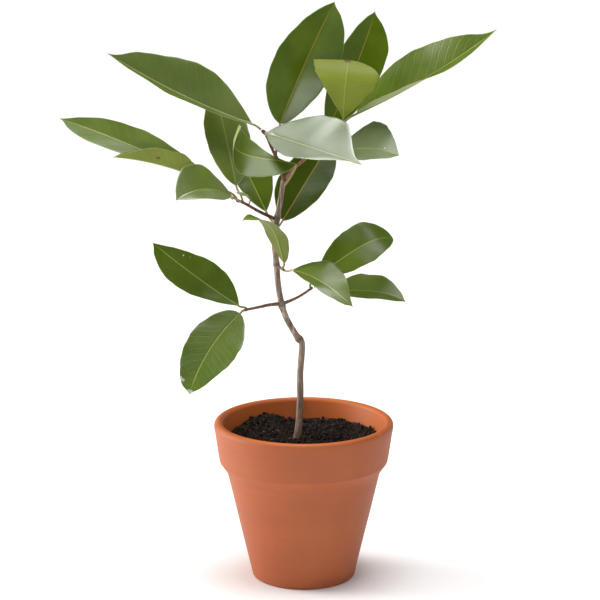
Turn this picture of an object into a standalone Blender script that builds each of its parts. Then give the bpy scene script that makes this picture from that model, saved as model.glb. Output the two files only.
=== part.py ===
"""A potted rubber plant: a slim woody stem, its shoots and leathery leaves, in a terracotta pot.

Run it with: blender --background --python part.py

Units are metres, +Z is up and the plant stands on z = 0 with its front towards -Y. Places on the
plant are listed in millimetres from the middle of the pot's foot. The origin is the middle of the
whole plant's box at floor level, so the pot stands off it by POT_OFFSET.
"""

import math
from dataclasses import dataclass

import bmesh
import bpy
from mathutils import Vector

MM = 0.001
GAP = 0.3  # mm between neighbouring pieces
POT_OFFSET = Vector((22.0, -7.5, 0.0))  # mm, so that the origin is under the middle of the plant

# The pot, in mm: a thrown terracotta pot with a deep collar.
POT_STEPS = 48
POT_HEIGHT = 117.0
RIM_RADIUS = 65.0
LIP_OUTER_ROUND = 3.3
LIP_INNER_ROUND = 2.7
LIP_THICKNESS = 6.5
COLLAR_LOW_RADIUS = 61.4
COLLAR_LOW_Z = 87.3
SHOULDER_RADIUS = 55.6
SHOULDER_Z = 79.4
EDGE_EASE = 0.9
FOOT_RADIUS = 37.7
FOOT_ROUND = 2.0
FLOOR_THICKNESS = 6.0
FLOOR_RADIUS = 32.5
FLOOR_ROUND = 3.0
DRAIN_RADIUS = 6.0

# The soil, in mm.
SOIL_Z = 103.0
SOIL_STEPS = 24
SOIL_UNEVENNESS = 1.1
SOIL_EDGE_DROP = 0.8
SOIL_TOP_RINGS = (0.93, 0.62, 0.30)  # shares of the edge's radius
SOCKET_RADIUS = 3.6
SOCKET_FLOOR_Z = 75.0

# Stem, shoots and leaves, in mm.
TUBE_SPACING = 6.0
PETIOLE_RADIUS = 0.75
PETIOLE_RINGS = 5
BLADE_RINGS = 12
BLADE_HALF_THICKNESS = 0.36
TIP_HALF_THICKNESS = 0.2
UPPER_SIDE = (-1.0, -0.5, 0.0, 0.5, 1.0)
LOWER_SIDE = (0.5, 0.0, -0.5)


@dataclass
class Twig:
    """A woody tube through the points of its route, which start on its parent's centre line."""

    name: str
    route: tuple
    radii: tuple
    parent: str = ""


@dataclass
class Leaf:
    """A leaf: its stalk leaves a twig at a share of the twig's length and carries a blade.

    Each pair holds the left half, then the right, seen from above with the tip pointing away.
    stalk_reach is how far the stalk runs straight at each end, as a share of its length.
    """

    name: str
    twig: str
    at: float
    base: tuple
    tip: tuple
    upper_side_looks: tuple
    width: tuple
    widest_at: tuple = (0.45, 0.45)
    base_power: tuple = (0.6, 0.6)
    tip_power: tuple = (0.85, 0.85)
    drip: float = 0.04
    arch: float = 0.0
    hook: float = 0.0
    sweep: float = 0.0
    twist: float = 0.0
    fold: tuple = (12.0, 12.0)
    stalk_reach: float = 0.4


TWIGS = (
    Twig(
        "main_stem",
        (
            (-5.5, 0, 76), (-5.5, 0, 90), (-5.5, 0, 101), (-4, 0, 109), (-3, 0, 122),
            (-2.5, 1, 134), (-2.5, 2, 152), (-1.5, 3, 166), (-1.5, 3, 174), (-5, 2, 179),
            (-12, 0, 192), (-16, -2, 204), (-18.5, -2, 220), (-19.5, -1, 233),
            (-21, 1, 251), (-19, 2, 265), (-16.5, 1, 279), (-14, -1, 296),
        ),
        (2.9, 1.9),
    ),
    Twig(
        "leader_shoot",
        ((-14, -1, 296), (-17, 3, 304), (-20, 6, 309.5), (-24, 8, 318), (-27, 8, 325), (-30, 8, 328)),
        (1.6, 0.9),
        "main_stem",
    ),
    Twig(
        "back_shoot",
        ((-20, 6, 309.5), (-19, 11, 317), (-17, 15, 323), (-16, 17, 328)),
        (0.9, 0.8),
        "leader_shoot",
    ),
    Twig(
        "upper_right_shoot",
        ((-14.3, -0.6, 293.5), (-7.5, 3, 301), (0.5, 8, 307), (14.5, 14, 320), (27, 16, 331)),
        (1.4, 0.9),
        "main_stem",
    ),
    Twig(
        "left_shoot",
        ((-19, 2, 265), (-23, 1, 266.5), (-31.5, -4, 271.5), (-42, -9, 278.5), (-48, -12, 281.5)),
        (1.3, 0.9),
        "main_stem",
    ),
    Twig(
        "middle_shoot",
        ((-19.5, -1, 232), (-16, -5, 230.5), (-13.5, -8, 229.5)),
        (1.1, 0.9),
        "main_stem",
    ),
    Twig(
        "lower_left_shoot",
        ((-16, -2, 204), (-24.5, -8, 204.5), (-32, -15, 204.5), (-42, -24, 204.5)),
        (1.3, 0.9),
        "main_stem",
    ),
    Twig(
        "lower_right_shoot",
        ((-16, -2, 204), (-12, 1, 204.5), (-4, 6, 207), (3.5, 10, 211), (6.5, 12, 213)),
        (1.2, 0.9),
        "main_stem",
    ),
)

LEAVES = (
    Leaf(
        "crown_leaf_tall", "back_shoot", 1.0, (-17, 18, 331), (22, 43, 415), (3, -9, 1), (25, 22),
        (0.38, 0.62), tip_power=(0.88, 0.8), arch=5, sweep=-3, fold=(12, 19),
    ),
    Leaf(
        "crown_leaf_right", "upper_right_shoot", 0.88, (17, 36, 324), (52, 80, 404), (4, -9, 1),
        (20.5, 19.5), (0.46, 0.66), arch=3, sweep=1, fold=(18, 18),
    ),
    Leaf(
        "crown_leaf_folded", "upper_right_shoot", 0.96, (28, 8, 336), (32, 14, 377), (0.1, 1, -0.3),
        (23, 28), (0.76, 1.3), (1.1, 1.1), (0.35, 0.35), drip=0, arch=-6, hook=-5, fold=(5, 5),
    ),
    Leaf(
        "right_leaf_long", "upper_right_shoot", 1.0, (37, 10, 339), (133, -22, 403), (0, -4, 9),
        (28, 24), (0.31, 0.55), (0.65, 0.75), (1.05, 1.05), drip=0.09, arch=-4, twist=48,
        fold=(28, 28),
    ),
    Leaf(
        "right_leaf_short", "upper_right_shoot", 0.74, (25, 3, 314), (66, -30, 316), (0, -6.5, 8),
        (27, 17), (0.34, 0.5), (0.45, 0.6), (0.95, 0.6), arch=2, hook=3, fold=(5, 12),
    ),
    Leaf(
        "front_leaf_broad", "leader_shoot", 0.88, (-26, 2, 327), (40, -42, 312), (0, -6, 7), (30, 16),
        (0.55, 0.34), (0.7, 0.8), (1.8, 2.2), drip=0.06, fold=(8, 8),
    ),
    Leaf(
        "front_leaf_cupped", "main_stem", 0.965, (-6, -12, 307), (-43, -34, 338), (6, -6, 5), (19, 17),
        (0.45, 0.72), (0.6, 2.2), arch=-7, hook=-17, fold=(6, 6), stalk_reach=0.12,
    ),
    Leaf(
        "left_leaf_upper", "leader_shoot", 1.0, (-36, 8, 332), (-139, 14, 382), (0, -4, 10),
        (17.5, 26), (0.45, 0.42), (0.8, 1.0), drip=0.08, arch=-4, fold=(24, 40),
    ),
    Leaf(
        "left_leaf_long", "left_shoot", 1.0, (-64, 2, 290), (-177, 48, 330), (0, -3, 8), (13, 25),
        (0.72, 0.64), (1.7, 0.8), arch=3, fold=(-6, -4),
    ),
    Leaf(
        "left_leaf_tilted", "left_shoot", 0.96, (-60, -15, 291), (-131, -52, 319), (0, 2, 7),
        (15.5, 17), (0.5, 0.5), (3.0, 3.2), (0.9, 0.9), arch=4, fold=(40, 40),
    ),
    Leaf(
        "left_leaf_drooping", "left_shoot", 0.9, (-50, -21, 285), (-88, -58, 290), (0, -5, 9),
        (16, 21), (0.5, 0.58), (1.3, 0.9), arch=6, hook=2, fold=(4, 28),
    ),
    Leaf(
        "back_leaf_left", "left_shoot", 0.84, (-48, -1, 290), (-64, 36, 354), (2, -9, 1), (16, 17),
        (0.5, 0.5), arch=2, fold=(16, 16),
    ),
    Leaf(
        "back_leaf_middle", "main_stem", 0.845, (-27, 9, 269), (-50, 40, 310), (1, -9, 3), (11, 16),
        (0.5, 0.5), (0.8, 0.8), arch=2, fold=(12, 12),
    ),
    Leaf(
        "back_leaf_right", "main_stem", 0.83, (-15, 12, 262), (22, 58, 315), (0, -3, 1), (19, 16),
        (0.35, 0.5), arch=3, fold=(12, 14),
    ),
    Leaf(
        "stem_leaf_narrow", "middle_shoot", 0.75, (-14, -11, 236), (-43, -38, 272), (6, 4, 7),
        (13, 15.5), (0.5, 0.5), tip_power=(0.7, 0.8), arch=7, hook=5, fold=(4, 4),
    ),
    Leaf(
        "lower_leaf_front", "middle_shoot", 1.0, (-8, -14, 231), (34, -50, 213), (0, -6, 7), (17, 7.5),
        (0.46, 0.6), (0.75, 0.75), (1.1, 0.6), arch=7, fold=(8, 8),
    ),
    Leaf(
        "lower_leaf_right_upper", "lower_right_shoot", 0.9, (13, 18, 223), (65, 40, 243), (0, -6, 7),
        (18, 17), (0.62, 0.52), (0.5, 0.6), (0.42, 0.7), drip=0, arch=2, hook=7, fold=(6, 6),
    ),
    Leaf(
        "lower_leaf_right_lower", "lower_right_shoot", 1.0, (16, 4, 212), (72, -22, 210), (0, -3, 9),
        (15.5, 21), (0.5, 0.5), (0.6, 0.6), (0.85, 0.7), arch=2, hook=3, fold=(24, 16),
    ),
    Leaf(
        "lower_leaf_left_upper", "lower_left_shoot", 0.93, (-46, -26, 208), (-107, -14, 251),
        (0, -9, 8), (16, 16), (0.62, 0.38), (0.95, 0.75), (0.75, 1.0), arch=-3, fold=(8, 8),
    ),
    Leaf(
        "lower_leaf_left_drooping", "lower_left_shoot", 1.0, (-45, -28, 203), (-80, -62, 153),
        (-3, -9, 4), (21.5, 18), (0.42, 0.46), (0.6, 0.5), (0.75, 0.6), arch=2, sweep=4, fold=(10, 10),
    ),
    Leaf(
        "young_leaf", "left_shoot", 0.7, (-39, -7, 283), (-48, -7, 286), (0, -3, 9), (2.0, 2.5),
        (0.5, 0.5), fold=(10, 10),
    ),
)


def clear_scene():
    for obj in list(bpy.data.objects):
        bpy.data.objects.remove(obj)


def finish(name, colour, roughness):
    """A plain dielectric material."""
    material = bpy.data.materials.new(name)
    material.use_nodes = True
    shader = material.node_tree.nodes["Principled BSDF"]
    shader.inputs["Base Color"].default_value = (*colour, 1.0)
    shader.inputs["Roughness"].default_value = roughness
    shader.inputs["Metallic"].default_value = 0.0
    return material


def add_object(name, data, parent, material):
    obj = bpy.data.objects.new(name, data)
    bpy.context.scene.collection.objects.link(obj)
    obj.parent = parent
    data.materials.append(material)
    return obj


def arc(centre_r, centre_z, radius, start, end, steps):
    """Points (r, z) on an arc from one angle to another, in degrees from +r towards +z."""
    angles = [math.radians(start + (end - start) * i / steps) for i in range(steps + 1)]
    return [(centre_r + radius * math.cos(a), centre_z + radius * math.sin(a)) for a in angles]


def inner_wall_radius(z):
    """The pot's inside radius: one straight taper from the floor to the lip."""
    mouth = RIM_RADIUS - LIP_THICKNESS
    share = (z - FLOOR_THICKNESS) / (POT_HEIGHT - LIP_INNER_ROUND - FLOOR_THICKNESS)
    return FLOOR_RADIUS + (mouth - FLOOR_RADIUS) * share


def pot_profile():
    """The pot's closed outline (r, z), down its outside and up its inside."""
    lip_z = POT_HEIGHT - LIP_OUTER_ROUND
    outline = arc(RIM_RADIUS - LIP_OUTER_ROUND, lip_z, LIP_OUTER_ROUND, 80, 0, 4)
    outline += [
        (COLLAR_LOW_RADIUS, COLLAR_LOW_Z + EDGE_EASE),
        (COLLAR_LOW_RADIUS - EDGE_EASE, COLLAR_LOW_Z - EDGE_EASE / 2),
        (SHOULDER_RADIUS + EDGE_EASE, SHOULDER_Z + EDGE_EASE),
        (SHOULDER_RADIUS, SHOULDER_Z - EDGE_EASE),
    ]
    outline += arc(FOOT_RADIUS - FOOT_ROUND, FOOT_ROUND, FOOT_ROUND, -10, -90, 3)
    outline += [
        (DRAIN_RADIUS, 0.0),
        (DRAIN_RADIUS, FLOOR_THICKNESS),
        (FLOOR_RADIUS - FLOOR_ROUND, FLOOR_THICKNESS),
        (inner_wall_radius(FLOOR_THICKNESS + FLOOR_ROUND), FLOOR_THICKNESS + FLOOR_ROUND),
    ]
    mouth = RIM_RADIUS - LIP_THICKNESS
    inner_lip_z = POT_HEIGHT - LIP_INNER_ROUND
    outline += arc(mouth + LIP_INNER_ROUND, inner_lip_z, LIP_INNER_ROUND, 180, 100, 3)
    return outline


def build_pot(parent, material):
    """The pot: its outline turned about the upright axis."""
    outline = pot_profile()
    mesh = bpy.data.meshes.new("pot")
    points = [(r * MM, 0.0, z * MM) for r, z in outline]
    edges = [(i, (i + 1) % len(points)) for i in range(len(points))]
    mesh.from_pydata(points, edges, [])
    pot = add_object("pot", mesh, parent, material)
    turn = pot.modifiers.new("turn", "SCREW")
    turn.steps = POT_STEPS
    turn.render_steps = POT_STEPS
    turn.use_merge_vertices = True
    turn.merge_threshold = 0.00001
    turn.use_smooth_shade = True
    return pot


def soil_height(r, angle):
    """How far the soil's top stands above its mean level, in mm."""
    swell = math.sin(2 * angle + 0.6) + 0.7 * math.sin(3 * angle + 2.1) * r / RIM_RADIUS
    return SOIL_UNEVENNESS * swell * math.sin(math.pi * min(1.0, r / RIM_RADIUS + 0.25))


def build_soil(parent, material):
    """The soil: a plug that follows the pot's inside, with an uneven top and a socket for the stem."""
    low = FLOOR_THICKNESS + GAP
    low_wall = low + FLOOR_ROUND + GAP
    edge_z = SOIL_Z - SOIL_EDGE_DROP
    edge_r = inner_wall_radius(edge_z) - GAP
    profile = [
        (FLOOR_RADIUS - FLOOR_ROUND - 3 * GAP, low),
        (inner_wall_radius(low_wall) - 2 * GAP, low_wall),
        (edge_r, edge_z),
    ]
    profile += [(edge_r * share, SOIL_Z) for share in SOIL_TOP_RINGS]
    shape = bmesh.new()
    rings = []
    for index, (r, z) in enumerate(profile):
        ring = []
        for step in range(SOIL_STEPS):
            angle = 2 * math.pi * step / SOIL_STEPS
            lift = soil_height(r, angle) if index > 2 else 0.0
            place = Vector((r * math.cos(angle), r * math.sin(angle), z + lift))
            ring.append(shape.verts.new(place * MM))
        rings.append(ring)
    shape.faces.new(reversed(rings[0]))
    for lower, upper in zip(rings, rings[1:]):
        for i in range(SOIL_STEPS):
            j = (i + 1) % SOIL_STEPS
            shape.faces.new((lower[i], lower[j], upper[j], upper[i]))
    middle = shape.verts.new((0.0, 0.0, SOIL_Z * MM))
    for i in range(SOIL_STEPS):
        shape.faces.new((rings[-1][i], rings[-1][(i + 1) % SOIL_STEPS], middle))
    mesh = bpy.data.meshes.new("soil")
    shape.to_mesh(mesh)
    shape.free()
    soil = add_object("soil", mesh, parent, material)
    socket = build_socket(parent, material)
    cut = soil.modifiers.new("stem_socket", "BOOLEAN")
    cut.operation = "DIFFERENCE"
    cut.object = socket
    return soil


def build_socket(parent, material):
    """The cutter that leaves room for the buried end of the stem."""
    top = POT_HEIGHT
    mesh = bpy.data.meshes.new("stem_socket")
    shape = bmesh.new()
    bmesh.ops.create_cone(
        shape,
        cap_ends=True,
        segments=16,
        radius1=SOCKET_RADIUS * MM,
        radius2=SOCKET_RADIUS * MM,
        depth=(top - SOCKET_FLOOR_Z) * MM,
    )
    shape.to_mesh(mesh)
    shape.free()
    socket = add_object("stem_socket", mesh, parent, material)
    foot = Vector(TWIGS[0].route[0])
    socket.location = Vector((foot.x, foot.y, (top + SOCKET_FLOOR_Z) / 2)) * MM
    socket.hide_render = True
    socket.display_type = "WIRE"
    return socket


def curve_through(points, steps=8):
    """Points along a smooth curve (Catmull-Rom) through the given ones, in mm."""
    given = [Vector(p) for p in points]
    padded = [2 * given[0] - given[1], *given, 2 * given[-1] - given[-2]]
    smooth = []
    for before, start, end, after in zip(padded, padded[1:], padded[2:], padded[3:]):
        for step in range(steps):
            t = step / steps
            smooth.append(
                0.5
                * (
                    2 * start
                    + (end - before) * t
                    + (2 * before - 5 * start + 4 * end - after) * t**2
                    + (3 * start - before - 3 * end + after) * t**3
                )
            )
    smooth.append(given[-1])
    return smooth


class Route:
    """A twig's smooth centre line, read by the share of its length."""

    def __init__(self, twig):
        self.points = curve_through(twig.route)
        self.reach = [0.0]
        for here, there in zip(self.points, self.points[1:]):
            self.reach.append(self.reach[-1] + (there - here).length)
        self.radii = twig.radii

    @property
    def length(self):
        return self.reach[-1]

    def point(self, share):
        wanted = share * self.length
        for i in range(len(self.points) - 1):
            if wanted <= self.reach[i + 1]:
                part = (wanted - self.reach[i]) / (self.reach[i + 1] - self.reach[i])
                return self.points[i].lerp(self.points[i + 1], part)
        return self.points[-1].copy()

    def direction(self, share):
        step = 0.5 / self.length
        return (self.point(min(1.0, share + step)) - self.point(max(0.0, share - step))).normalized()

    def radius(self, share):
        return self.radii[0] + (self.radii[1] - self.radii[0]) * share

    def nearest_share(self, place):
        lengths = [(p - place).length for p in self.points]
        return self.reach[lengths.index(min(lengths))] / self.length


def clear_of_end(along, radius):
    """How far past a twig's cut end a round piece starts so that its rim stands off by the gap.

    along is the cosine of the angle between the two pieces.
    """
    return (GAP + radius * math.sqrt(1 - along**2)) / along


def bare_start(route, parent_route):
    """The share of a twig's route that lies inside its parent's bark, with the gap, and isn't built."""
    share = parent_route.nearest_share(route.points[0])
    along = abs(route.direction(0.0).dot(parent_route.direction(share)))
    if share == 1.0:
        return clear_of_end(along, route.radii[0]) / route.length
    across = math.sqrt(1 - along**2)
    clear = (parent_route.radius(share) + GAP + route.radii[0] * along) / across
    return clear / route.length


def build_twig(twig, routes, parent, material):
    """A tapered tube along the twig's route."""
    route = routes[twig.name]
    start = bare_start(route, routes[twig.parent]) if twig.parent else 0.0
    count = max(3, round(route.length * (1 - start) / TUBE_SPACING))
    curve = bpy.data.curves.new(twig.name, "CURVE")
    curve.dimensions = "3D"
    curve.bevel_depth = MM
    curve.bevel_resolution = 2
    curve.use_fill_caps = True
    spline = curve.splines.new("POLY")
    spline.points.add(count)
    for i, point in enumerate(spline.points):
        share = start + (1 - start) * i / count
        point.co = (*(route.point(share) * MM), 1.0)
        point.radius = route.radius(share)
    return add_object(twig.name, curve, parent, material)


def half_width(leaf, side, u):
    """The blade's half width in mm at a share u of its length, on one side (0 or 1)."""
    widest = leaf.widest_at[side]
    if u < widest:
        share = math.sin(math.pi / 2 * u / widest) ** leaf.base_power[side]
    else:
        share = math.sin(math.pi / 2 * (1 - u) / (1 - widest)) ** leaf.tip_power[side]
    if leaf.drip > 0:
        tail = 0.22 * min(1.0, (1 - u) / (2 * leaf.drip))
        blend = min(1.0, max(0.0, (u - 1 + 2 * leaf.drip) / (2 * leaf.drip)))
        blend = blend * blend * (3 - 2 * blend)
        share = share * (1 - blend) + tail * blend
    return share * leaf.width[side]


class Midrib:
    """A blade's middle line, with the directions along it, off its upper side and to its right."""

    def __init__(self, leaf):
        self.leaf = leaf
        self.base = Vector(leaf.base)
        self.chord = Vector(leaf.tip) - self.base
        along = self.chord.normalized()
        looks = Vector(leaf.upper_side_looks)
        self.up = (looks - looks.dot(along) * along).normalized()
        self.side = along.cross(self.up)

    def point(self, u):
        leaf = self.leaf
        bow = 4 * u * (1 - u)
        rise = leaf.arch * bow + leaf.hook * 6.75 * u * u * (1 - u)
        return self.base + u * self.chord + rise * self.up + leaf.sweep * bow * self.side

    def axes(self, u):
        step = 0.01
        along = (self.point(u + step) - self.point(u - step)).normalized()
        up = (self.up - self.up.dot(along) * along).normalized()
        side = along.cross(up)
        turn = math.radians(self.leaf.twist) * (u - 0.5)
        turned_up = up * math.cos(turn) + side * math.sin(turn)
        turned_side = side * math.cos(turn) - up * math.sin(turn)
        return along, turned_up, turned_side


def section(middle, up, side, widths, folds, half_thickness):
    """The points round a leaf's section: its upper side from left to right, then its lower side back."""
    points = []
    for is_upper, places in ((True, UPPER_SIDE), (False, LOWER_SIDE)):
        for v in places:
            half = 1 if v > 0 else 0
            fold = math.radians(folds[half])
            sign = 1 if v > 0 else -1
            off = abs(v) * widths[half]
            surface = middle + side * sign * off * math.cos(fold) + up * off * math.sin(fold)
            normal = up if v == 0 else up * math.cos(fold) - side * sign * math.sin(fold)
            thickness = half_thickness * (1 - v * v)
            points.append(surface + normal * (thickness if is_upper else -thickness))
    return points


def stalk_start(leaf, midrib, route):
    """Where a leaf's stalk begins, just off the twig's bark, and the direction that it leaves in."""
    centre = route.point(leaf.at)
    away = (midrib.base - centre).normalized()
    along = route.direction(leaf.at)
    if leaf.at == 1.0:
        away = (away + 2 * along).normalized()
        return centre + away * clear_of_end(away.dot(along), PETIOLE_RADIUS), away
    away = (away - away.dot(along) * along).normalized()
    return centre + away * (route.radius(leaf.at) + GAP), away


def stalk_rings(leaf, midrib, route):
    """The round sections of a leaf's stalk, from the twig to the blade."""
    start, away = stalk_start(leaf, midrib, route)
    along, up, _ = midrib.axes(0.0)
    reach = (midrib.base - start).length * leaf.stalk_reach
    handles = (start, start + away * reach, midrib.base - along * reach, midrib.base)
    rings = []
    for index in range(PETIOLE_RINGS, -1, -1):
        t = index / PETIOLE_RINGS
        s = 1 - t
        place = (
            s**3 * handles[0]
            + 3 * s * s * t * handles[1]
            + 3 * s * t * t * handles[2]
            + t**3 * handles[3]
        )
        heading = (
            s * s * (handles[1] - handles[0])
            + 2 * s * t * (handles[2] - handles[1])
            + t * t * (handles[3] - handles[2])
        ).normalized()
        up = (up - up.dot(heading) * heading).normalized()
        side = heading.cross(up)
        ring = []
        for place_round in range(len(UPPER_SIDE) + len(LOWER_SIDE)):
            angle = math.pi * (1 - place_round / (len(UPPER_SIDE) - 1))
            offset = side * math.cos(angle) + up * math.sin(angle)
            ring.append(place + offset * PETIOLE_RADIUS)
        rings.insert(0, ring)
    return rings


def build_leaf(leaf, routes, parent, material):
    """One closed loft: a round stalk that opens into a thin folded blade.

    The upper and lower sides are split along the same diagonals, so that a twisted blade doesn't
    cross itself.
    """
    midrib = Midrib(leaf)
    rings = stalk_rings(leaf, midrib, routes[leaf.twig])
    for index in range(1, BLADE_RINGS):
        u = 0.5 - 0.5 * math.cos(math.pi * index / BLADE_RINGS)
        _, up, side = midrib.axes(u)
        widths = [max(PETIOLE_RADIUS, half_width(leaf, half, u)) for half in (0, 1)]
        stalk_share = max(0.0, 1 - u / 0.3) ** 2
        thin = BLADE_HALF_THICKNESS + (TIP_HALF_THICKNESS - BLADE_HALF_THICKNESS) * u
        half_thickness = thin + (PETIOLE_RADIUS - thin) * stalk_share
        rings.append(section(midrib.point(u), up, side, widths, leaf.fold, half_thickness))
    shape = bmesh.new()
    loops = [[shape.verts.new(point * MM) for point in ring] for ring in rings]
    tip = shape.verts.new(Vector(leaf.tip) * MM)
    shape.faces.new(loops[0])
    for lower, upper in zip(loops, loops[1:]):
        for i in range(len(lower)):
            j = (i + 1) % len(lower)
            if i < len(UPPER_SIDE) - 1:
                shape.faces.new((lower[i], lower[j], upper[j]))
                shape.faces.new((lower[i], upper[j], upper[i]))
            else:
                shape.faces.new((lower[i], lower[j], upper[i]))
                shape.faces.new((lower[j], upper[j], upper[i]))
    for i in range(len(loops[-1])):
        shape.faces.new((loops[-1][i], loops[-1][(i + 1) % len(loops[-1])], tip))
    bmesh.ops.recalc_face_normals(shape, faces=shape.faces)
    mesh = bpy.data.meshes.new(leaf.name)
    shape.to_mesh(mesh)
    shape.free()
    mesh.shade_smooth()
    return add_object(leaf.name, mesh, parent, material)


def main():
    clear_scene()
    pot_middle = bpy.data.objects.new("pot_middle", None)
    bpy.context.scene.collection.objects.link(pot_middle)
    pot_middle.location = POT_OFFSET * MM
    build_pot(pot_middle, finish("terracotta", (0.50, 0.20, 0.11), 0.75))
    build_soil(pot_middle, finish("potting_soil", (0.035, 0.022, 0.015), 0.95))
    routes = {twig.name: Route(twig) for twig in TWIGS}
    for twig in TWIGS:
        build_twig(twig, routes, pot_middle, finish(twig.name + "_bark", (0.22, 0.15, 0.10), 0.8))
    for leaf in LEAVES:
        build_leaf(leaf, routes, pot_middle, finish(leaf.name + "_green", (0.10, 0.18, 0.03), 0.35))


main()
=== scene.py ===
"""A potted rubber plant dressed for a studio picture: leaves, bark, soil and a terracotta pot."""

import sys
import logging
import math
import random
from dataclasses import dataclass
from enum import Enum
from typing import Sequence

import bpy
import numpy as np
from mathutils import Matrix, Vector, noise


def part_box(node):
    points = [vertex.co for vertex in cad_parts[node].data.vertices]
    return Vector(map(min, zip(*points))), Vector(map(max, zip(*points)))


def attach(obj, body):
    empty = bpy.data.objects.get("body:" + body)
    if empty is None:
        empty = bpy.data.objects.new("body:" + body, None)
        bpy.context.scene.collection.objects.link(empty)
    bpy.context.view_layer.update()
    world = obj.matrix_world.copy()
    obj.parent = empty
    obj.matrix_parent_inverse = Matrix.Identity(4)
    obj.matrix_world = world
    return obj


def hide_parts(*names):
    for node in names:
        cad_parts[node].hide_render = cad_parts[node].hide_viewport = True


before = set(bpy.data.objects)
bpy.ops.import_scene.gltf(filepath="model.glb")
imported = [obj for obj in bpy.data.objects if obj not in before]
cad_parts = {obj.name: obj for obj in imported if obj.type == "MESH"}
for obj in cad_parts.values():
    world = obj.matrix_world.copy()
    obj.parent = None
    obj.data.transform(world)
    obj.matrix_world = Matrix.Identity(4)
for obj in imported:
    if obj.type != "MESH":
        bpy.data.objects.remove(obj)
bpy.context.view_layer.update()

MM = 0.001
BODY = "root"
log = logging.getLogger("rubber_plant")

Colour = tuple[float, float, float]
Place = tuple[float, float, float]


# --- shader maths -------------------------------------------------------------------------------


class Wire:
    """One shader output that takes part in arithmetic."""

    def __init__(self, graph: "Graph", socket: bpy.types.NodeSocket) -> None:
        """Takes hold of an output.

        Args:
            graph: the graph that the output belongs to.
            socket: the output that this wire carries.
        """
        self.graph = graph
        self.socket = socket

    def math(self, operation: str, *others: "Wire | float") -> "Wire":
        """The result of a Math node on this value and the others."""
        values = dict(enumerate((self, *others)))
        return self.graph.node("ShaderNodeMath", {"operation": operation}, values)

    def __add__(self, other: "Wire | float") -> "Wire":
        """This value plus another."""
        return self.math("ADD", other)

    __radd__ = __add__

    def __mul__(self, other: "Wire | float") -> "Wire":
        """This value times another."""
        return self.math("MULTIPLY", other)

    __rmul__ = __mul__

    def __sub__(self, other: "Wire | float") -> "Wire":
        """This value less another."""
        return self.math("SUBTRACT", other)

    def __rsub__(self, other: float) -> "Wire":
        """A number less this value."""
        return self * -1.0 + other

    def __truediv__(self, other: "Wire | float") -> "Wire":
        """This value over another."""
        return self.math("DIVIDE", other)

    def size(self) -> "Wire":
        """The value without its sign."""
        return self.math("ABSOLUTE")

    def rise(self, low: float, high: float) -> "Wire":
        """A smooth step: 0 before low and 1 past high; where high is below low, it falls."""
        sockets = {"Value": self, "From Min": low, "From Max": high}
        return self.graph.node("ShaderNodeMapRange", {"interpolation_type": "SMOOTHSTEP"}, sockets)


class Graph:
    """A material whose look is written as expressions."""

    def __init__(self, name: str, world: bpy.types.World | None = None) -> None:
        """Starts a material, or the surroundings where a world is given.

        Args:
            name: the material's name.
            world: the surroundings to write.
        """
        self.material = world or bpy.data.materials.new(name)
        self.material.use_nodes = True
        self.tree = self.material.node_tree
        self.shader = self.tree.nodes["Background" if world else "Principled BSDF"]

    def node(
        self,
        kind: str,
        settings: dict[str, object],
        sockets: dict[str | int, object],
        output: str | int = 0,
    ) -> Wire:
        """Adds any node.

        Args:
            kind: the node's type.
            settings: its settings, set first.
            sockets: values or wires for its inputs.
            output: the output that is used.

        Returns:
            That output.
        """
        node = self.tree.nodes.new(kind)
        for key, value in settings.items():
            setattr(node, key, value)
        for key, value in sockets.items():
            if isinstance(value, Wire):
                self.tree.links.new(value.socket, node.inputs[key])
            else:
                node.inputs[key].default_value = value
        return Wire(self, node.outputs[output])

    def place(self) -> Wire:
        """Object coordinates in metres."""
        return self.node("ShaderNodeTexCoord", {}, {}, "Object")

    def attribute(self, name: str) -> Wire:
        """A number stored on the mesh."""
        return self.node("ShaderNodeAttribute", {"attribute_name": name}, {}, "Fac")

    def grain(self, scale: float, detail: float = 3.0, stretch: Place = (1.0, 1.0, 1.0)) -> Wire:
        """Fractal noise.

        Args:
            scale: features in a metre.
            detail: octaves.
            stretch: scale along each axis.

        Returns:
            A value around 0.5.
        """
        spot = self.node("ShaderNodeMapping", {}, {"Vector": self.place(), "Scale": stretch})
        sockets = {"Vector": spot, "Scale": scale, "Detail": detail}
        return self.node("ShaderNodeTexNoise", {}, sockets, "Fac")

    def blend(self, share: Wire | float, first: "Wire | Colour", second: "Wire | Colour") -> Wire:
        """A colour between two others.

        Args:
            share: how much of the second shows.
            first: the colour at 0.
            second: the colour at 1.

        Returns:
            The blended colour.
        """
        ends = [c if isinstance(c, Wire) else (*c, 1.0) for c in (first, second)]
        sockets = {0: share, 6: ends[0], 7: ends[1]}
        return self.node("ShaderNodeMix", {"data_type": "RGBA"}, sockets, 2)

    def bump(self, height: Wire, depth: float, strength: float) -> Wire:
        """A normal bumped by a relief from 0 to 1 that is this deep in metres."""
        sockets = {"Height": height, "Distance": depth, "Strength": strength}
        return self.node("ShaderNodeBump", {}, sockets, "Normal")

    def feed(self, **sockets: object) -> bpy.types.Material:
        """Sets the shader's sockets, whose spaces are written as underscores.

        Args:
            sockets: a number, a colour or a wire for each.

        Returns:
            The finished material.
        """
        for key, value in sockets.items():
            socket = self.shader.inputs[key.replace("_", " ")]
            if isinstance(value, Wire):
                self.tree.links.new(value.socket, socket)
            else:
                socket.default_value = value
        return self.material


# --- finishes -----------------------------------------------------------------------------------


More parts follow.
